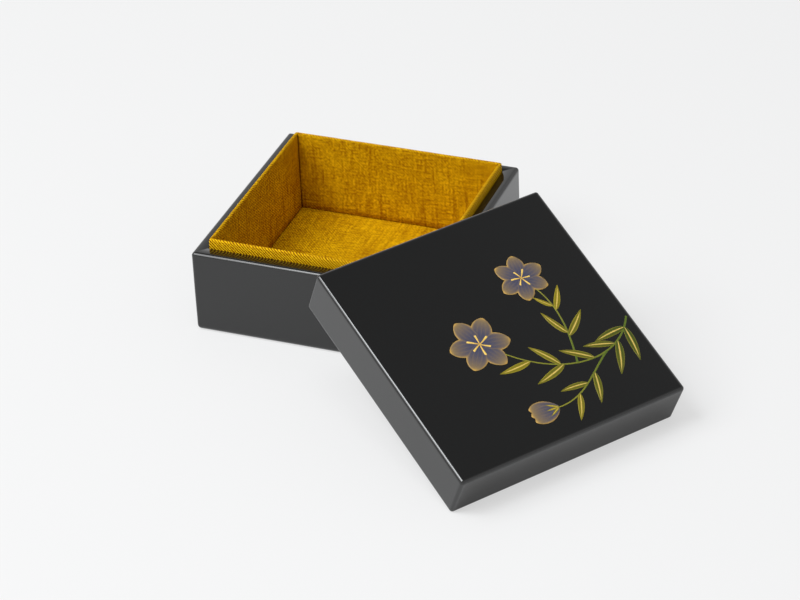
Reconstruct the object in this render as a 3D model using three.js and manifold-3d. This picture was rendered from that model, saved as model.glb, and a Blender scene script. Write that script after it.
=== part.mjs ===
// Square black lacquer box with a loose lid and a silk lining that stands proud of the rim.
// Millimetres, +Z up. The origin is the centre of the body's underside, on the table.
// The lid is off: its lower edge stands on the table and its upper wall rests on the lining.
import * as THREE from 'three';
import { mergeVertices } from 'three/addons/utils/BufferGeometryUtils.js';
import { RoundedBoxGeometry } from 'three/addons/geometries/RoundedBoxGeometry.js';
import Module from 'manifold-3d';

const wasm = await Module();
wasm.setup();

// Outside of the body and the lid
const side = 110;
const bodyHeight = 38.4;
const lidHeight = 21.6;
const arris = 1.6;
const arrisSteps = 3;

// Wooden boards under the lacquer
const rimWidth = 6;
const bottomThickness = 3.2;
const lidTopThickness = 4;
const glueLine = 0.3;

// Lining: card boards wrapped in silk
const upstand = 4.4;
const cardThickness = 1;
const silkThickness = 0.3;
const floorFit = 0.3;

// Fit and place of the lid
const lidClearance = 0.3;
const restGap = 0.3;
const lidYaw = THREE.MathUtils.degToRad(-35.4);
const liningCornerPast = 0.8;
const lidSlip = 0.6;

// Sizes that follow from those above
const liningHalf = side / 2 - rimWidth;
const liningTop = bodyHeight + upstand;
const liningThickness = cardThickness + 2 * silkThickness;
const lidHollowHalf = liningHalf + lidClearance;
const lidWall = side / 2 - lidHollowHalf;
const reach = 2 * side;

const lacquer = new THREE.MeshStandardMaterial({ color: 0x0d0d0e, roughness: 0.12, metalness: 0 });
const card = new THREE.MeshStandardMaterial({ color: 0xb9a98a, roughness: 0.9, metalness: 0 });
const silk = new THREE.MeshStandardMaterial({ color: 0xb57b10, roughness: 0.6, metalness: 0 });

function solidOf(geometry) {
  const bare = geometry.index ? geometry.toNonIndexed() : geometry.clone();
  bare.deleteAttribute('normal');
  bare.deleteAttribute('uv');
  const merged = mergeVertices(bare, 1e-5);
  return new wasm.Manifold(new wasm.Mesh({
    numProp: 3,
    vertProperties: new Float32Array(merged.attributes.position.array),
    triVerts: new Uint32Array(merged.index.array),
  }));
}

function geometryOf(solid) {
  const mesh = solid.getMesh();
  const geometry = new THREE.BufferGeometry();
  geometry.setAttribute('position', new THREE.BufferAttribute(new Float32Array(mesh.vertProperties), 3));
  geometry.setIndex(new THREE.BufferAttribute(new Uint32Array(mesh.triVerts), 1));
  geometry.computeVertexNormals();
  return geometry;
}

function piece(name, solid, material) {
  const mesh = new THREE.Mesh(geometryOf(solid), material);
  mesh.name = name;
  return mesh;
}

// A square block about the Z axis, from one height to another.
function block(half, low, high) {
  const geometry = new THREE.BoxGeometry(2 * half, 2 * half, high - low);
  geometry.translate(0, 0, (low + high) / 2);
  return solidOf(geometry);
}

// A square block with every outer edge rounded to the arris radius.
function roundedBlock(height) {
  const geometry = new RoundedBoxGeometry(side, side, height, arrisSteps, arris);
  geometry.translate(0, 0, height / 2);
  return solidOf(geometry);
}

// The quarter of the plan that one board fills, short of the mitre by half a glue line.
function mitreWedge(turn, gap) {
  const apex = -gap / Math.SQRT2;
  const outline = new THREE.Shape();
  outline.moveTo(0, apex);
  outline.lineTo(-reach, apex - reach);
  outline.lineTo(reach, apex - reach);
  outline.closePath();
  const geometry = new THREE.ExtrudeGeometry(outline, { depth: reach, bevelEnabled: false });
  geometry.translate(0, 0, -reach / 2);
  geometry.rotateZ(turn);
  return solidOf(geometry);
}

const quarters = [
  ['front', 0],
  ['right', Math.PI / 2],
  ['back', Math.PI],
  ['left', -Math.PI / 2],
];

// Four mitred boards cut out of a closed ring.
function mitredBoards(prefix, suffix, ring, material) {
  return quarters.map(([place, turn]) => {
    const board = ring.intersect(mitreWedge(turn, glueLine));
    return piece(`${prefix}_${place}${suffix}`, board, material);
  });
}

function boxBody() {
  const outside = roundedBlock(bodyHeight);
  const wallRing = outside
    .subtract(block(liningHalf, -reach, reach))
    .intersect(block(side, bottomThickness + glueLine, reach));
  const bottom = outside.intersect(block(side, -reach, bottomThickness));
  return [
    piece('box_bottom', bottom, lacquer),
    ...mitredBoards('box', '_wall', wallRing, lacquer),
  ];
}

function lining() {
  const inner = liningHalf - liningThickness;
  const cardOuter = liningHalf - silkThickness;
  const cardTop = liningTop - silkThickness;
  const cardRing = block(cardOuter, bottomThickness, cardTop)
    .subtract(block(cardOuter - cardThickness, -reach, reach));
  const silkRing = block(liningHalf, bottomThickness, liningTop)
    .subtract(block(inner, -reach, reach))
    .subtract(cardRing);
  const floorHalf = inner - floorFit;
  const floorCardTop = bottomThickness + cardThickness;
  return [
    ...mitredBoards('lining', '_card', cardRing, card),
    ...mitredBoards('lining', '_silk', silkRing, silk),
    piece('lining_floor_card', block(floorHalf, bottomThickness, floorCardTop), card),
    piece('lining_floor_silk', block(floorHalf, floorCardTop, floorCardTop + silkThickness), silk),
  ];
}

// The lid's own frame: rim at z = 0, outer top at z = lidHeight.
function lid() {
  const outside = roundedBlock(lidHeight);
  const panelLow = lidHeight - lidTopThickness;
  const wallRing = outside
    .subtract(block(lidHollowHalf, -reach, reach))
    .intersect(block(side, -reach, panelLow - glueLine));
  const panel = outside.intersect(block(side, panelLow, reach));
  return [
    piece('lid_top_panel', panel, lacquer),
    ...mitredBoards('lid', '_wall', wallRing, lacquer),
  ];
}

// The lid's lean: its rounded lower arris touches the table while the inner lower edge of its
// upper wall clears the top of the lining by the rest gap.
function lidLean() {
  const span = side - arris - lidWall;
  const rise = liningTop + restGap - arris;
  return Math.asin(rise / Math.hypot(span, arris)) + Math.atan2(arris, span);
}

// The lid's centre in plan: the lining's front right corner stands just inside the upper wall,
// and the lid is slipped a little along that wall.
function lidCentre(tilt) {
  const downSlope = new THREE.Vector2(1, 0).rotateAround(new THREE.Vector2(), lidYaw);
  const alongWall = new THREE.Vector2(0, 1).rotateAround(new THREE.Vector2(), lidYaw);
  const liningCorner = new THREE.Vector2(liningHalf, -liningHalf);
  return liningCorner
    .addScaledVector(downSlope, lidHollowHalf * Math.cos(tilt) - liningCornerPast)
    .addScaledVector(alongWall, lidSlip);
}

function leaningLid() {
  const tilt = lidLean();
  const centre = lidCentre(tilt);
  const centreHeight = (side / 2 - arris) * Math.sin(tilt) + arris * (1 - Math.cos(tilt));
  const lean = new THREE.Group();
  lean.rotation.y = tilt;
  lean.add(...lid());
  const stand = new THREE.Group();
  stand.position.set(centre.x, centre.y, centreHeight);
  stand.rotation.z = lidYaw;
  stand.add(lean);
  return stand;
}

const lacquerBox = new THREE.Group();
lacquerBox.add(...boxBody(), ...lining(), leaningLid());

export default lacquerBox;
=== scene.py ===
"""Square black lacquer box, its lid off and leaning on the silk lining: looks and stage."""
from math import asin, atan2, cos, hypot, pi, radians, sin

import bmesh
import bpy
import numpy as np
from mathutils import Matrix, Vector


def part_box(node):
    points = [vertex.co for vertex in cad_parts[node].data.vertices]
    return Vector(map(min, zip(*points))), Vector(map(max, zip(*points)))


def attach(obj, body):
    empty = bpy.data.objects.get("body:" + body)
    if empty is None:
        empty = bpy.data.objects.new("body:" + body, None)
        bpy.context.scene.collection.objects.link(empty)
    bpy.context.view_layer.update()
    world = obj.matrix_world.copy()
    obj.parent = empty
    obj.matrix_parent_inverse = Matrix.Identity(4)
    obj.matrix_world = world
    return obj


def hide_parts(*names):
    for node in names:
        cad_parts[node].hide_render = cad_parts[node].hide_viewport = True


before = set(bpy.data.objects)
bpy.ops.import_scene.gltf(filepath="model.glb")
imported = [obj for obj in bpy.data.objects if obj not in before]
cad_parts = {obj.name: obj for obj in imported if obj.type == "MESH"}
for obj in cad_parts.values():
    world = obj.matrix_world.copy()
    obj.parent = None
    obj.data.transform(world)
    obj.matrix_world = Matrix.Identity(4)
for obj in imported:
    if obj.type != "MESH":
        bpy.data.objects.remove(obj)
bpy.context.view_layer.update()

MM = 0.001
LINING_PLACES = ("front", "right", "back", "left")

# Sizes read from the frame, in metres
body_low, body_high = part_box("box_bottom")
SIDE = body_high[0] - body_low[0]
HALF = SIDE / 2
BOTTOM = body_high[2]
BODY_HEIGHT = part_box("box_front_wall")[1][2]
LINING_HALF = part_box("lining_right_silk")[1][0]
LINING_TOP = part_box("lining_front_silk")[1][2]
LINING_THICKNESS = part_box("lining_right_silk")[1][0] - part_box("lining_right_silk")[0][0]
FLOOR_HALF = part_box("lining_floor_silk")[1][0]
FLOOR_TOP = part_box("lining_floor_silk")[1][2]

# The lid's own sizes and place, as the construction has them
LID_HEIGHT = 21.6 * MM
LID_TOP_THICKNESS = 4 * MM
LID_CLEARANCE = 0.3 * MM
REST_GAP = 0.3 * MM
LID_YAW = radians(-35.4)
CORNER_PAST = 0.8 * MM
LID_SLIP = 0.6 * MM
ARRIS = 1.6 * MM
LID_HOLLOW_HALF = LINING_HALF + LID_CLEARANCE

# The lacquer coat
CORNER_RADIUS = 1.4 * MM
FOOT_ARRIS = 2.2 * MM
CROWN = 0.1 * MM
SUPPORT = 0.35 * MM
INNER_ROUND = 0.4 * MM
ARC_STEPS = 8

# The camera, solved from the edge lines of the reference view
CAMERA_PLACE = (439.07 * MM, -1050.94 * MM, 708.42 * MM)
CAMERA_HEADING = radians(21.855)
CAMERA_PITCH = radians(32.21)
CAMERA_ROLL = radians(-2.539)
FOCAL_PIXELS = 3055
IMAGE_WIDTH = 800
SENSOR = 36


def lid_matrix():
    """The lid's own frame in the box's frame: x down the slope, y along the upper wall, z off the top."""
    lid_wall = HALF - LID_HOLLOW_HALF
    span = SIDE - ARRIS - lid_wall
    tilt = asin((LINING_TOP + REST_GAP - ARRIS) / hypot(span, ARRIS)) + atan2(ARRIS, span)
    down_slope = Vector((cos(LID_YAW), sin(LID_YAW), 0))
    along_wall = Vector((-sin(LID_YAW), cos(LID_YAW), 0))
    place = Vector((LINING_HALF, -LINING_HALF, 0))
    place += down_slope * (LID_HOLLOW_HALF * cos(tilt) - CORNER_PAST) + along_wall * LID_SLIP
    place.z = (HALF - ARRIS) * sin(tilt) + ARRIS * (1 - cos(tilt))
    turn = Matrix.Rotation(LID_YAW, 4, "Z") @ Matrix.Rotation(tilt, 4, "Y")
    return Matrix.Translation(place) @ turn


LID = np.array(lid_matrix())


def to_lid_place(points):
    """Carries points from the lid's own frame to where the lid leans."""
    return points @ LID[:3, :3].T + LID[:3, 3]


# Meshes

def make_object(name, points, faces, material, closed=True):
    """A mesh object from an array of points and a list of faces, with smooth shading."""
    mesh = bpy.data.meshes.new(name)
    mesh.from_pydata(points.reshape(-1, 3).tolist(), [], faces)
    mesh.update()
    if closed:
        shell = bmesh.new()
        shell.from_mesh(mesh)
        bmesh.ops.recalc_face_normals(shell, faces=shell.faces)
        shell.to_mesh(mesh)
        shell.free()
    mesh.polygons.foreach_set("use_smooth", np.ones(len(mesh.polygons), bool))
    mesh.materials.append(material)
    piece = bpy.data.objects.new(name, mesh)
    bpy.context.scene.collection.objects.link(piece)
    return piece


def grid_faces(rows, columns, wrap=False, start=0):
    """The quads of a grid of points, row after row; wrap joins the last column to the first."""
    row, column = np.meshgrid(np.arange(rows - 1), np.arange(columns if wrap else columns - 1), indexing="ij")
    following = (column + 1) % columns
    corners = (row * columns + column, row * columns + following,
               (row + 1) * columns + following, (row + 1) * columns + column)
    return (np.stack(corners, axis=-1).reshape(-1, 4) + start).tolist()


def square_ring(half, radius, height):
    """One closed ring: a square with round corners, with support points beside each corner."""
    angles = np.linspace(0, pi / 2, ARC_STEPS + 1)
    arc = np.stack([np.cos(angles), np.sin(angles)], axis=1) * radius + (half - radius)
    lead = min(SUPPORT, 0.3 * half)
    before = np.array([[half, half - radius - lead]])
    after = np.array([[half - radius - lead, half]])
    corner = np.concatenate([before, arc, after])
    turns = [np.array([[cos(a), sin(a)], [-sin(a), cos(a)]]) for a in (0, pi / 2, pi, 3 * pi / 2)]
    plan = np.concatenate([corner @ turn for turn in turns])
    return np.column_stack([plan, np.full(len(plan), height)])


def carried_round(name, profile, material, place=None):
    """A closed shell: a profile of (inset from the outer face, height) carried round a square."""
    rings = []
    for inset, height in profile:
        radius = max(CORNER_RADIUS - max(inset, 0), INNER_ROUND)
        half = HALF - inset
        rings.append(square_ring(half, min(radius, 0.4 * half), height))
    points = np.array(rings)
    faces = grid_faces(len(rings), points.shape[1], wrap=True)
    last = (len(rings) - 1) * points.shape[1]
    faces.append(list(range(points.shape[1])))
    faces.append(list(range(last, last + points.shape[1])))
    if place is not None:
        points = place(points)
    return make_object(name, points, faces, material)


def quarter(centre, radius, first, last):
    """Points of an arc about a centre, from one angle to another."""
    angles = np.linspace(first, last, ARC_STEPS + 1)
    return [(centre[0] + radius[0] * cos(a), centre[1] + radius[1] * sin(a)) for a in angles]


def crown_height(inset):
    """How far a face stands proud of its edges, from nothing at the arris to the crown in the middle."""
    return CROWN * (1 - (1 - inset / HALF) ** 2)


def body_shell(material):
    """The body's coat: underside, arris, wall, arris, rim, and the wall inside."""
    arris = (ARRIS, ARRIS)
    rim = HALF - LINING_HALF
    foot = (FOOT_ARRIS, FOOT_ARRIS)
    profile = [(HALF * 0.995, 0), (HALF * 0.5, 0), (FOOT_ARRIS + SUPPORT, 0)]
    profile += quarter(foot, foot, -pi / 2, -pi)
    profile += [(0, FOOT_ARRIS + SUPPORT), (-0.04 * MM, BODY_HEIGHT * 0.5), (0, BODY_HEIGHT - ARRIS - SUPPORT)]
    profile += quarter((ARRIS, BODY_HEIGHT - ARRIS), arris, pi, pi / 2)
    profile += [(ARRIS + SUPPORT, BODY_HEIGHT), (rim - INNER_ROUND, BODY_HEIGHT)]
    profile += [(rim, BODY_HEIGHT - INNER_ROUND), (rim, BOTTOM), (HALF * 0.995, BOTTOM)]
    return carried_round("box_lacquer", profile, material)


def lid_shell(material):
    """The lid's coat: crowned top, arris, wall, arris, rim, and the hollow under it."""
    arris = (ARRIS, ARRIS)
    wall = HALF - LID_HOLLOW_HALF
    ceiling = LID_HEIGHT - LID_TOP_THICKNESS
    insets = HALF * np.array([0.995, 0.8, 0.6, 0.4, 0.2, 0.1])
    profile = [(inset, LID_HEIGHT + crown_height(inset)) for inset in insets]
    profile += [(ARRIS + SUPPORT, LID_HEIGHT + crown_height(ARRIS + SUPPORT) * 0.5)]
    profile += quarter((ARRIS, LID_HEIGHT - ARRIS), arris, pi / 2, pi)
    profile += [(0, LID_HEIGHT - ARRIS - SUPPORT), (0, ARRIS + SUPPORT)]
    profile += quarter(arris, arris, pi, 3 * pi / 2)
    profile += [(ARRIS + SUPPORT, 0), (wall - INNER_ROUND, 0), (wall, INNER_ROUND)]
    profile += [(wall, ceiling - INNER_ROUND), (wall + INNER_ROUND, ceiling), (HALF * 0.995, ceiling)]
    return carried_round("lid_lacquer", profile, material, to_lid_place)


# The silk lining

FOLD_STEPS = 10
BOARD_STEPS = 140
MITRE_GAP = 0.05 * MM
END_ROUND = 0.5 * MM
WAVINESS = 0.05 * MM


def soft_waves(along, seed):
    """A smooth uneven line from a few sine waves with seeded phases, between about -1 and 1."""
    phases = np.random.default_rng(seed).uniform(0, 2 * pi, 5)
    counts = np.array([3, 7, 12, 19, 31])
    weights = np.array([0.4, 0.3, 0.2, 0.12, 0.08])
    waves = np.sin(along[:, None] / SIDE * counts * 2 * pi + phases)
    return waves @ weights


def silk_board(name, turn, seed, material):
    """A card board wrapped in silk: an upright strip with a round fold on top and mitred ends.
    The profile runs up the outer face, over the fold and down the inner face."""
    radius = LINING_THICKNESS / 2
    low = BOTTOM + 0.05 * MM
    angles = np.linspace(pi, 0, FOLD_STEPS + 1)
    fold_depth = radius + radius * np.cos(angles) * -1
    fold_height = LINING_TOP - radius + radius * np.sin(angles)
    depth = np.concatenate([np.zeros(4), fold_depth[::-1] * 0 + radius - radius * np.cos(angles[::-1]),
                            np.full(8, 2 * radius)])
    height = np.concatenate([np.linspace(low, LINING_TOP - radius, 4, endpoint=False), fold_height,
                             np.linspace(LINING_TOP - radius, low, 9)[1:]])
    t = np.linspace(-1, 1, BOARD_STEPS)
    t = np.sign(t) * (1 - (1 - np.abs(t)) ** 1.35)
    reach = LINING_HALF - MITRE_GAP - depth
    along = t[:, None] * reach[None, :]
    from_end = (1 - np.abs(t)) * LINING_HALF
    inside = np.clip(END_ROUND - from_end, 0, END_ROUND)
    shrink = END_ROUND - np.sqrt(END_ROUND ** 2 - inside ** 2)
    swell = WAVINESS * soft_waves(t * LINING_HALF, seed)
    centre = (depth - radius) / radius
    across = -LINING_HALF + depth[None, :] - centre[None, :] * shrink[:, None] * 0.8
    proud = np.clip((height - BODY_HEIGHT) / (LINING_TOP - BODY_HEIGHT), 0, 1)
    up = height[None, :] + (swell - shrink * 0.8)[:, None] * proud[None, :]
    points = np.stack([along, across, up], axis=-1)
    spin = np.array([[cos(turn), sin(turn), 0], [-sin(turn), cos(turn), 0], [0, 0, 1]])
    columns = len(depth)
    faces = grid_faces(BOARD_STEPS, columns)
    last = (BOARD_STEPS - 1) * columns
    faces.append(list(range(columns)))
    faces.append(list(range(last, last + columns)))
    faces += [[i * columns, (i + 1) * columns, (i + 2) * columns - 1, (i + 1) * columns - 1]
              for i in range(BOARD_STEPS - 1)]
    board = make_object(name, points @ spin, faces, material)
    profile_length = np.concatenate([[0], np.cumsum(np.hypot(np.diff(depth), np.diff(height)))])
    add_weave_map(board, along, np.broadcast_to(profile_length, along.shape))
    return board


def add_weave_map(piece, along, across):
    """Lays the weave in metres: u along the board, v over the profile."""
    layer = piece.data.uv_layers.new(name="weave")
    corner = np.empty(len(piece.data.loops), int)
    piece.data.loops.foreach_get("vertex_index", corner)
    plan = np.stack([along.reshape(-1), across.reshape(-1)], axis=-1)
    layer.data.foreach_set("uv", plan[corner].reshape(-1).astype(np.float32))


FLOOR_STEPS = 80
FLOOR_ROUND = 0.25 * MM
FLOOR_SWELL = 0.27 * MM


def silk_floor(material):
    """The silk-covered floor board: a flat top whose edges turn down over the card. The silk
    swells out from the board until it all but touches the walls."""
    half = FLOOR_HALF + FLOOR_SWELL
    t = np.linspace(-1, 1, FLOOR_STEPS)
    t = np.sign(t) * (1 - (1 - np.abs(t)) ** 1.6)
    x, y = np.meshgrid(t * half, t * half, indexing="ij")
    edge = np.minimum(half - np.abs(x), half - np.abs(y))
    inside = np.clip(FLOOR_ROUND - edge, 0, FLOOR_ROUND)
    drop = FLOOR_ROUND - np.sqrt(FLOOR_ROUND ** 2 - inside ** 2)
    top = np.stack([x, y, FLOOR_TOP - drop], axis=-1)
    under = np.stack([x, y, np.full_like(x, BOTTOM + 0.05 * MM)], axis=-1)
    count = FLOOR_STEPS * FLOOR_STEPS
    faces = grid_faces(FLOOR_STEPS, FLOOR_STEPS)
    faces += [face[::-1] for face in grid_faces(FLOOR_STEPS, FLOOR_STEPS, start=count)]
    index = np.arange(count).reshape(FLOOR_STEPS, FLOOR_STEPS)
    rim = np.concatenate([index[0, :-1], index[:-1, -1], index[-1, :0:-1], index[:0:-1, 0]])
    following = np.roll(rim, -1)
    faces += np.stack([rim, following, following + count, rim + count], axis=-1).tolist()
    floor = make_object("silk_floor", np.concatenate([top.reshape(-1, 3), under.reshape(-1, 3)]), faces, material)
    add_weave_map(floor, np.concatenate([x, x]), np.concatenate([y, y]) + SIDE)
    return floor


# The painted spray on the lid

RELIEF = 0.07 * MM
TUCK = 0.03 * MM
LAYER_STEP = 0.004 * MM
SLATE = np.array([0.05, 0.058, 0.115])
BRONZE = np.array([0.27, 0.185, 0.075])
GOLD = np.array([0.66, 0.39, 0.075])
BRIGHT_GOLD = np.array([0.92, 0.62, 0.14])
LEAF_GREEN = np.array([0.026, 0.06, 0.008])
STEM_GREEN = np.array([0.09, 0.14, 0.015])
LEAF_OLIVE = np.array([0.27, 0.21, 0.006])
LEAF_EDGE = np.array([0.42, 0.34, 0.03])
RIB_GOLD = np.array([0.8, 0.57, 0.14])


def mix(a, b, share):
    """Goes from one colour to another by a share for each point."""
    share = np.clip(share, 0, 1)[..., None]
    return a * (1 - share) + b * share


class Painting:
    """Collects painted patches as grids of points and colours, and makes them one mesh."""

    def __init__(self):
        self.points = []
        self.colours = []
        self.faces = []
        self.count = 0

    def add(self, plan, relief, colour):
        """plan: rows by columns of (x, y) on the lid; relief: 0 at the tucked edge to 1."""
        inset = np.clip(HALF - np.abs(plan).max(axis=-1), 0, HALF)
        layer = LAYER_STEP * len(self.points)
        height = LID_HEIGHT + crown_height(inset) - TUCK + (RELIEF + TUCK + layer) * relief
        rows, columns = height.shape
        quads = grid_faces(rows, columns, start=self.count)
        area = np.cross(plan[1, 0] - plan[0, 0], plan[1, 1] - plan[1, 0])
        self.faces += [quad[::-1] for quad in quads] if area > 0 else quads
        self.points.append(np.concatenate([plan, height[..., None]], axis=-1).reshape(-1, 3))
        self.colours.append(np.broadcast_to(colour, (rows, columns, 3)).reshape(-1, 3))
        self.count += rows * columns

    def make(self, name, material):
        piece = make_object(name, to_lid_place(np.concatenate(self.points)), self.faces, material, closed=False)
        colours = np.concatenate(self.colours)
        layer = piece.data.color_attributes.new("paint", "FLOAT_COLOR", "POINT")
        layer.data.foreach_set("color", np.column_stack([colours, np.ones(len(colours))]).reshape(-1))
        return piece


def blade_grid(base, angle, length, width, shape, bend=0.0, rows=26, columns=17):
    """A petal or leaf: its middle line runs from the base along an angle and bends to one side;
    its width follows a shape function. Returns the plan, the place along and the place across."""
    along, across = np.meshgrid(np.linspace(0, 1, rows), np.linspace(-1, 1, columns), indexing="ij")
    reach = along * length
    side = across * width / 2 * shape(along) + bend * length * along ** 2
    x = base[0] + reach * cos(angle) - side * sin(angle)
    y = base[1] + reach * sin(angle) + side * cos(angle)
    return np.stack([x, y], axis=-1), along, across


def pillow(along, across):
    """Relief that rises quickly from every edge and stays level in the middle."""
    edge = np.minimum(1 - np.abs(across), np.minimum(along, 1 - along) * 6)
    return np.clip(edge * 5, 0, 1) ** 0.5


def petal_shape(t):
    """Broad past the middle, drawn in at the base and pointed at the tip: 2.5 (t + 0.03)^0.8 (1 - t)^0.7."""
    return 2.5 * (t + 0.03) ** 0.8 * (1.001 - t) ** 0.7


def leaf_shape(t):
    """Widest near a third of the way, with a long point: 2 (t)^0.6 (1 - t)^0.95."""
    return 2.0 * (t + 0.004) ** 0.6 * (1.001 - t) ** 0.95


def anther_shape(t):
    """A thread that swells evenly towards its tip: 0.5 + 0.8 t."""
    return 0.5 + t * 0.8


def paint_petal(paint, base, angle, length, width, bend):
    """A slate petal that turns bronze towards its tip and sides, with fine veins and a gold edge."""
    plan, along, across = blade_grid(base, angle, length, width, petal_shape, bend, 30, 33)
    outward = np.maximum(along ** 2.2, np.abs(across) ** 3 * (0.25 + along))
    veins = np.clip(np.cos(across * 5 * pi) * 3 - 1.9, 0, 1) * np.clip(along * 2.2, 0, 1)
    body = mix(mix(SLATE, BRONZE, outward), BRONZE, veins * 0.28)
    edge = np.maximum(np.abs(across) ** 14, along ** 24)
    paint.add(plan, pillow(along, across), mix(body, GOLD, edge * 1.3))


def paint_flower(paint, centre, size, turn, petals):
    """An open flower: pointed petals round a centre, every second one laid on top, and gold stamens."""
    for i in (*range(0, petals, 2), *range(1, petals, 2)):
        angle = turn + 2 * pi * i / petals
        paint_petal(paint, centre, angle, size, size * 0.72, 0.04 * (-1) ** i)
    for i in range(petals):
        angle = turn + 2 * pi * (i + 0.5) / petals
        reach = size * (0.36 + 0.06 * (i % 2))
        plan, along, across = blade_grid(centre, angle, reach, size * 0.07, anther_shape, 0.1, 8, 5)
        paint.add(plan, 0.6 + pillow(along, across) * 0.8, mix(GOLD, BRIGHT_GOLD, along * 1.4))


def paint_leaf(paint, base, angle, length, bend, green):
    """A lance leaf with a pale gold rib and a gold edge, greener or more golden by the share given."""
    plan, along, across = blade_grid(base, angle, length, length * 0.31, leaf_shape, bend, 30, 25)
    body = mix(LEAF_OLIVE, LEAF_GREEN, green * (1 - 0.3 * along))
    rib = np.exp(-(across * 6.5) ** 2) * np.clip((0.93 - along) * 6, 0, 1)
    edge = np.abs(across) ** 6 * (1 - 0.5 * green)
    paint.add(plan, pillow(along, across), mix(mix(body, LEAF_EDGE, edge), RIB_GOLD, rib))


def curve_points(a, b, c, d, steps=61):
    """A cubic Bezier curve from a to d with b and c as its handles, as an array of points."""
    t = np.linspace(0, 1, steps)[:, None]
    return a * (1 - t) ** 3 + 3 * b * t * (1 - t) ** 2 + 3 * c * t ** 2 * (1 - t) + d * t ** 3


def paint_stem(paint, line, width, green):
    """A thin raised line along a curve, tapering towards its end."""
    run = np.gradient(line, axis=0)
    run /= np.linalg.norm(run, axis=1, keepdims=True)
    normal = np.stack([-run[:, 1], run[:, 0]], axis=-1)
    across = np.linspace(-1, 1, 5)
    taper = width * np.linspace(1, 0.55, len(line))
    plan = line[:, None, :] + normal[:, None, :] * across[None, :, None] * taper[:, None, None] / 2
    share = np.broadcast_to(np.linspace(green, green * 0.5, len(line))[:, None], plan.shape[:2])
    paint.add(plan, np.clip((1 - np.abs(np.broadcast_to(across, plan.shape[:2]))) * 3, 0, 1),
              mix(LEAF_EDGE, STEM_GREEN, share))


# The plan of the spray, in millimetres on the lid. A side stem starts at a share of the way along
# the main stem. A leaf is (stem, share of the way along it, turn from the stem, length, greenness).
STEM_WIDTH = 1.05 * MM
MAIN_STEM = ((15, 52.6), (34, 38), (30, 8), (5, -9))
SIDE_STEMS = (
    (0.31, (32, 24), (42, 14), (41, 1)),
    (0.53, (12, 26), (-2, 30), (-15, 24)),
)
LEAVES = (
    (0, 0.08, 0.75, 17, 1.0), (0, 0.09, -0.75, 16, 0.95), (0, 0.2, 0.7, 17, 0.95),
    (0, 0.24, -0.8, 14, 0.85), (0, 0.42, -0.75, 15, 0.7), (0, 0.62, 0.7, 16, 0.6),
    (0, 0.64, -0.72, 15, 0.5), (0, 0.8, 0.78, 15, 0.3), (1, 0.34, 0.7, 15, 0.8),
    (1, 0.5, -0.7, 13, 0.7), (1, 0.68, 0.75, 13, 0.45), (2, 0.3, -0.75, 15, 0.6),
    (2, 0.33, 0.72, 14, 0.5), (2, 0.62, -0.7, 13, 0.25), (2, 0.66, 0.75, 9, 0.15),
)
LEAF_BEND = 0.1
FLOWERS = (((2, -12), 13.5, 0.35, 6), ((-19, 22.5), 11.5, 0.8, 6))
BUD_LENGTH = 13 * MM
BUD_WIDTH = 7.5 * MM
SEPAL_LENGTH = 6 * MM


def paint_bud(paint, base, angle):
    """A closed bud: three petals in a narrow fan, held by two green sepals."""
    for spread in (-0.24, 0.24, 0):
        paint_petal(paint, base, angle + spread, BUD_LENGTH, BUD_WIDTH, 0)
    for spread in (-0.5, 0.5, 0):
        paint_leaf(paint, base, angle + spread, SEPAL_LENGTH, 0, 0.2)


def painted_spray(material):
    """A trailing spray with two open flowers, a bud and lance leaves in pairs."""
    paint = Painting()
    main = curve_points(*np.array(MAIN_STEM) * MM)
    stems = [main]
    for share, *rest in SIDE_STEMS:
        stems.append(curve_points(main[round(share * (len(main) - 1))], *np.array(rest) * MM))
    for line in stems:
        paint_stem(paint, line, STEM_WIDTH, 1.0)
    for stem, share, turn, length, green in LEAVES:
        line = stems[stem]
        at = round(share * (len(line) - 1))
        run = line[at + 1] - line[at - 1]
        angle = atan2(run[1], run[0]) + turn
        paint_leaf(paint, line[at], angle, length * MM, -LEAF_BEND * np.sign(turn), green)
    for centre, size, turn, petals in FLOWERS:
        paint_flower(paint, np.array(centre) * MM, size * MM, turn, petals)
    tip = stems[1][-1] - stems[1][-2]
    paint_bud(paint, stems[1][-1], atan2(tip[1], tip[0]))
    return paint.make("painted_spray", material)


# Materials

def new_material(name):
    """A node material with its shader; returns the material, its nodes, its links and the shader."""
    material = bpy.data.materials.new(name)
    material.use_nodes = True
    nodes, links = material.node_tree.nodes, material.node_tree.links
    return material, nodes, links, nodes["Principled BSDF"]


def add_node(nodes, kind, **inputs):
    """A node of one kind with its named inputs set; spaces in names are written as underscores."""
    node = nodes.new(kind)
    for key, value in inputs.items():
        node.inputs[key.replace("_", " ")].default_value = value
    return node


def math_node(nodes, links, operation, a, b=0.0):
    """One arithmetic step; each side is a socket or a number."""
    node = nodes.new("ShaderNodeMath")
    node.operation = operation
    for socket, value in zip(node.inputs, (a, b)):
        if isinstance(value, (int, float)):
            socket.default_value = value
        else:
            links.new(value, socket)
    return node.outputs[0]


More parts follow.
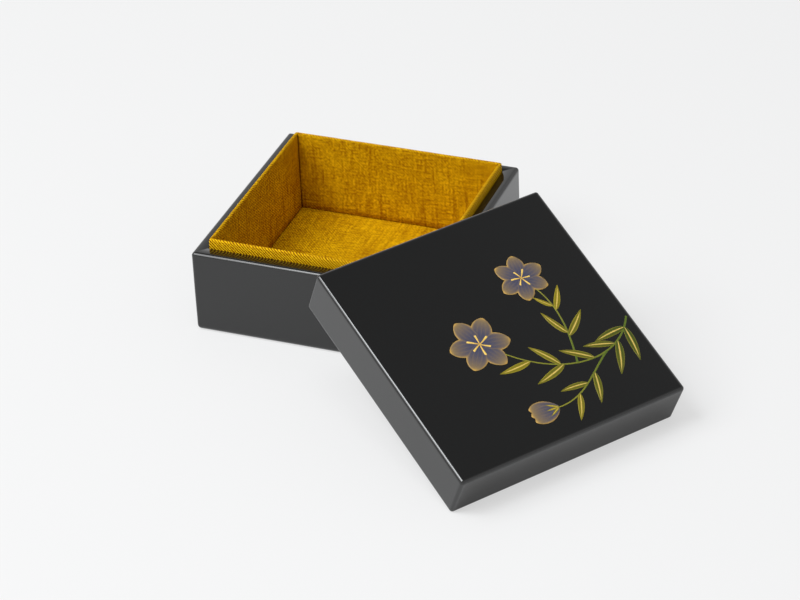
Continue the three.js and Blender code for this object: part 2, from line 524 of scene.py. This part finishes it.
def lacquer_material():
    """Polished black lacquer: near black, glossy, with the faint ripple of a rubbed coat."""
    material, nodes, links, shader = new_material("polished_lacquer")
    shader.inputs["Base Color"].default_value = (0.0045, 0.0047, 0.0047, 1)
    shader.inputs["IOR"].default_value = 1.6
    place = nodes.new("ShaderNodeTexCoord")
    cloud = add_node(nodes, "ShaderNodeTexNoise", Scale=60, Detail=3)
    links.new(place.outputs["Object"], cloud.inputs["Vector"])
    rough = add_node(nodes, "ShaderNodeMapRange", From_Min=0.3, From_Max=0.7, To_Min=0.035, To_Max=0.08)
    links.new(cloud.outputs["Fac"], rough.inputs["Value"])
    links.new(rough.outputs[0], shader.inputs["Roughness"])
    ripple = add_node(nodes, "ShaderNodeTexNoise", Scale=180, Detail=2)
    links.new(place.outputs["Object"], ripple.inputs["Vector"])
    bump = add_node(nodes, "ShaderNodeBump", Strength=0.03, Distance=0.0002)
    links.new(ripple.outputs["Fac"], bump.inputs["Height"])
    links.new(bump.outputs[0], shader.inputs["Normal"])
    return material


RIB_PITCH = 1.45 * MM
RIB_OUTSIDE = 1.3
RIB_INSIDE = 0.2
SILK_DARK = (0.28, 0.1, 0.0002, 1)
SILK_MIDDLE = (0.54, 0.28, 0.0007, 1)
SILK_LIGHT = (0.86, 0.52, 0.004, 1)
SHADE_MIDDLE = 1.32
SHADE_REACH = 0.4


def stretched_noise(nodes, links, source, scale, detail=2):
    """Noise drawn out along one direction of the weave."""
    stretch = nodes.new("ShaderNodeMapping")
    stretch.inputs["Scale"].default_value = scale
    links.new(source, stretch.inputs["Vector"])
    noise = add_node(nodes, "ShaderNodeTexNoise", Scale=1, Detail=detail)
    links.new(stretch.outputs[0], noise.inputs["Vector"])
    return noise.outputs["Fac"]


def silk_material():
    """Slubbed ribbed silk: fine slanting ribs and grain, crossed by thick and thin threads, with a
    few dark slubs. The ribs stand out on the outer face and the fold, and are faint inside."""
    material, nodes, links, shader = new_material("slubbed_silk")
    weave = nodes.new("ShaderNodeUVMap")
    weave.uv_map = "weave"
    apart = nodes.new("ShaderNodeSeparateXYZ")
    links.new(weave.outputs[0], apart.inputs[0])
    slant = math_node(nodes, links, "ADD", apart.outputs[0], apart.outputs[1])
    wander = stretched_noise(nodes, links, weave.outputs[0], (300, 300, 1), 1)
    phase = math_node(nodes, links, "ADD", math_node(nodes, links, "MULTIPLY", slant, 2 * pi / RIB_PITCH),
                      math_node(nodes, links, "MULTIPLY", wander, 5.0))
    rib = math_node(nodes, links, "SINE", phase)
    over = add_node(nodes, "ShaderNodeMapRange", From_Min=LINING_TOP - BOTTOM,
                    From_Max=LINING_TOP - BOTTOM + LINING_THICKNESS, To_Min=RIB_OUTSIDE, To_Max=RIB_INSIDE)
    links.new(apart.outputs[1], over.inputs["Value"])
    patch = add_node(nodes, "ShaderNodeMapRange", From_Min=0.4, From_Max=0.6, To_Min=0.4, To_Max=1.2)
    links.new(stretched_noise(nodes, links, weave.outputs[0], (140, 140, 1), 1), patch.inputs["Value"])
    share = math_node(nodes, links, "MULTIPLY", over.outputs[0], patch.outputs[0])
    rib_shade = math_node(nodes, links, "MULTIPLY", rib, share)
    slub = stretched_noise(nodes, links, weave.outputs[0], (260, 20, 1), 2)
    slub_shade = add_node(nodes, "ShaderNodeMapRange", From_Min=0.52, From_Max=0.75, To_Max=-0.24)
    links.new(slub, slub_shade.inputs["Value"])
    shade = math_node(nodes, links, "ADD", rib_shade, slub_shade.outputs[0])
    for scale, detail, share in (((1000, 90, 1), 1, 0.62), ((110, 1000, 1), 1, 0.62),
                                 ((1150, 1150, 1), 0, 1.0), ((45, 45, 1), 2, 0.4)):
        part = stretched_noise(nodes, links, weave.outputs[0], scale, detail)
        shade = math_node(nodes, links, "ADD", shade, math_node(nodes, links, "MULTIPLY", part, share))
    level = add_node(nodes, "ShaderNodeMapRange", From_Min=SHADE_MIDDLE - SHADE_REACH,
                     From_Max=SHADE_MIDDLE + SHADE_REACH)
    links.new(shade, level.inputs["Value"])
    ramp = nodes.new("ShaderNodeValToRGB")
    ramp.color_ramp.elements[0].color = SILK_DARK
    ramp.color_ramp.elements[1].color = SILK_LIGHT
    ramp.color_ramp.elements.new(0.5).color = SILK_MIDDLE
    links.new(level.outputs[0], ramp.inputs["Fac"])
    links.new(ramp.outputs["Color"], shader.inputs["Base Color"])
    shader.inputs["Roughness"].default_value = 0.7
    shader.inputs["Specular IOR Level"].default_value = 0.06
    bump = add_node(nodes, "ShaderNodeBump", Strength=0.7, Distance=0.00012)
    links.new(shade, bump.inputs["Height"])
    links.new(bump.outputs[0], shader.inputs["Normal"])
    return material


def paint_material():
    """Lacquer paint and gold powder: the painted colour, with fine grains that catch the light."""
    material, nodes, links, shader = new_material("gold_and_colour_lacquer")
    paint = nodes.new("ShaderNodeAttribute")
    paint.attribute_name = "paint"
    place = nodes.new("ShaderNodeTexCoord")
    grain = add_node(nodes, "ShaderNodeTexNoise", Scale=5000, Detail=2)
    links.new(place.outputs["Object"], grain.inputs["Vector"])
    level = add_node(nodes, "ShaderNodeMapRange", From_Min=0.3, From_Max=0.7, To_Min=0.75, To_Max=1.25)
    links.new(grain.outputs["Fac"], level.inputs["Value"])
    tone = nodes.new("ShaderNodeVectorMath")
    tone.operation = "SCALE"
    links.new(paint.outputs["Color"], tone.inputs[0])
    links.new(level.outputs[0], tone.inputs["Scale"])
    links.new(tone.outputs[0], shader.inputs["Base Color"])
    shader.inputs["Roughness"].default_value = 0.38
    shader.inputs["Specular IOR Level"].default_value = 0.25
    bump = add_node(nodes, "ShaderNodeBump", Strength=0.15, Distance=0.0001)
    links.new(grain.outputs["Fac"], bump.inputs["Height"])
    links.new(bump.outputs[0], shader.inputs["Normal"])
    return material


def card_material():
    """Pressed grey-brown card with a fibre mottle."""
    material, nodes, links, shader = new_material("pressed_card")
    place = nodes.new("ShaderNodeTexCoord")
    fibre = add_node(nodes, "ShaderNodeTexNoise", Scale=900, Detail=4)
    links.new(place.outputs["Object"], fibre.inputs["Vector"])
    ramp = nodes.new("ShaderNodeValToRGB")
    ramp.color_ramp.elements[0].color = (0.36, 0.3, 0.19, 1)
    ramp.color_ramp.elements[1].color = (0.56, 0.47, 0.32, 1)
    links.new(fibre.outputs["Fac"], ramp.inputs["Fac"])
    links.new(ramp.outputs["Color"], shader.inputs["Base Color"])
    shader.inputs["Roughness"].default_value = 0.9
    return material


# Stage

GLOW_SEEN = 0.66
GLOW_MIRRORED = 0.25
FLOOR_WHITE = 0.87


def make_floor():
    """A pale seamless floor, wide enough to fill every view. Camera and mirror rays see it
    lifted towards white, with the shadow kept at reduced depth."""
    material, nodes, links, shader = new_material("pale_floor")
    shader.inputs["Base Color"].default_value = (0.87, 0.87, 0.87, 1)
    shader.inputs["Roughness"].default_value = 0.9
    shader.inputs["Specular IOR Level"].default_value = 0.0
    rays = nodes.new("ShaderNodeLightPath")
    seen = math_node(nodes, links, "MULTIPLY", rays.outputs["Is Camera Ray"], GLOW_SEEN)
    mirrored = math_node(nodes, links, "MULTIPLY", rays.outputs["Is Glossy Ray"], GLOW_MIRRORED)
    share = math_node(nodes, links, "MAXIMUM", seen, mirrored)
    glow = add_node(nodes, "ShaderNodeEmission", Strength=FLOOR_WHITE)
    both = nodes.new("ShaderNodeMixShader")
    links.new(share, both.inputs[0])
    links.new(shader.outputs[0], both.inputs[1])
    links.new(glow.outputs[0], both.inputs[2])
    links.new(both.outputs[0], nodes["Material Output"].inputs["Surface"])
    reach = 12.0
    corners = np.array([[-reach, -reach, 0], [reach, -reach, 0], [reach, reach, 0], [-reach, reach, 0]])
    floor = make_object("floor", corners, [[0, 1, 2, 3]], material, closed=False)


def make_light(name, direction, distance, size, power, colour=(1, 1, 1)):
    """A square soft box that faces the object from a direction."""
    lamp = bpy.data.lights.new(name, "AREA")
    lamp.size = size
    lamp.energy = power
    lamp.color = colour
    holder = bpy.data.objects.new(name, lamp)
    where = Vector(direction).normalized() * distance
    holder.location = where
    holder.rotation_mode = "QUATERNION"
    holder.rotation_quaternion = (-where).to_track_quat("-Z", "Y")
    bpy.context.scene.collection.objects.link(holder)


SKY_LIGHT = 0.4
SKY_LOW_MIRRORED = 0.8
SKY_HIGH_MIRRORED = 0.24
SKY_SEEN = 0.9


def make_world():
    """An even grey sky lights the object; the lacquer mirrors a sky that is pale low down and
    darker overhead, and the camera sees white past the floor."""
    world = bpy.data.worlds.new("studio")
    bpy.context.scene.world = world
    world.use_nodes = True
    nodes, links = world.node_tree.nodes, world.node_tree.links
    background = nodes["Background"]
    rays = nodes.new("ShaderNodeLightPath")
    direction = nodes.new("ShaderNodeTexCoord")
    apart = nodes.new("ShaderNodeSeparateXYZ")
    links.new(direction.outputs["Generated"], apart.inputs[0])
    fall = add_node(nodes, "ShaderNodeMapRange", From_Min=0.5, From_Max=0.88,
                    To_Min=SKY_LOW_MIRRORED, To_Max=SKY_HIGH_MIRRORED)
    links.new(apart.outputs["Z"], fall.inputs["Value"])
    mirrored = add_node(nodes, "ShaderNodeMapRange", To_Min=SKY_LIGHT)
    links.new(rays.outputs["Is Glossy Ray"], mirrored.inputs["Value"])
    links.new(fall.outputs[0], mirrored.inputs["To Max"])
    seen = add_node(nodes, "ShaderNodeMapRange", To_Max=SKY_SEEN)
    links.new(rays.outputs["Is Camera Ray"], seen.inputs["Value"])
    links.new(mirrored.outputs[0], seen.inputs["To Min"])
    links.new(seen.outputs[0], background.inputs["Strength"])
    background.inputs["Color"].default_value = (1, 1, 1, 1)


def make_camera():
    """The camera at the reference view's place and angle."""
    lens = bpy.data.cameras.new("camera")
    lens.sensor_width = SENSOR
    lens.lens = FOCAL_PIXELS * SENSOR / IMAGE_WIDTH
    lens.clip_end = 60
    camera = bpy.data.objects.new("camera", lens)
    turn = Matrix.Rotation(CAMERA_HEADING, 4, "Z") @ Matrix.Rotation(pi / 2 - CAMERA_PITCH, 4, "X")
    camera.matrix_world = Matrix.Translation(CAMERA_PLACE) @ turn @ Matrix.Rotation(CAMERA_ROLL, 4, "Z")
    bpy.context.scene.collection.objects.link(camera)
    bpy.context.scene.camera = camera


def settle(piece, body, slot, *nodes):
    """Rides a piece on its body and hides the nodes that it stands for. The slot is not used."""
    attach(piece, body)
    if nodes:
        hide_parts(*nodes)


bpy.context.scene.view_settings.view_transform = "Standard"
make_camera()
lacquer, silk, card = lacquer_material(), silk_material(), card_material()

settle(body_shell(lacquer), "box", "black_lacquer", "box_bottom", "box_front_wall", "box_right_wall",
       "box_back_wall", "box_left_wall")
settle(lid_shell(lacquer), "lid", "black_lacquer", "lid_top_panel", "lid_front_wall", "lid_right_wall",
       "lid_back_wall", "lid_left_wall")
for number, place in enumerate(LINING_PLACES):
    board = silk_board(f"silk_{place}", number * pi / 2, number, silk)
    settle(board, "box", "gold_silk", f"lining_{place}_silk", f"lining_{place}_card")
settle(silk_floor(silk), "box", "gold_silk", "lining_floor_silk", "lining_floor_card")
settle(painted_spray(paint_material()), "lid", "black_lacquer")

make_floor()
make_world()
make_light("window", (-0.42, -0.46, 0.78), 2.4, 1.6, 40, (0.97, 0.985, 1.0))
make_light("window_core", (-0.24, -0.43, 0.87), 2.3, 0.5, 9, (0.93, 0.965, 1.0))
make_light("overhead", (0.1, -0.35, 1.0), 2.6, 1.0, 9)
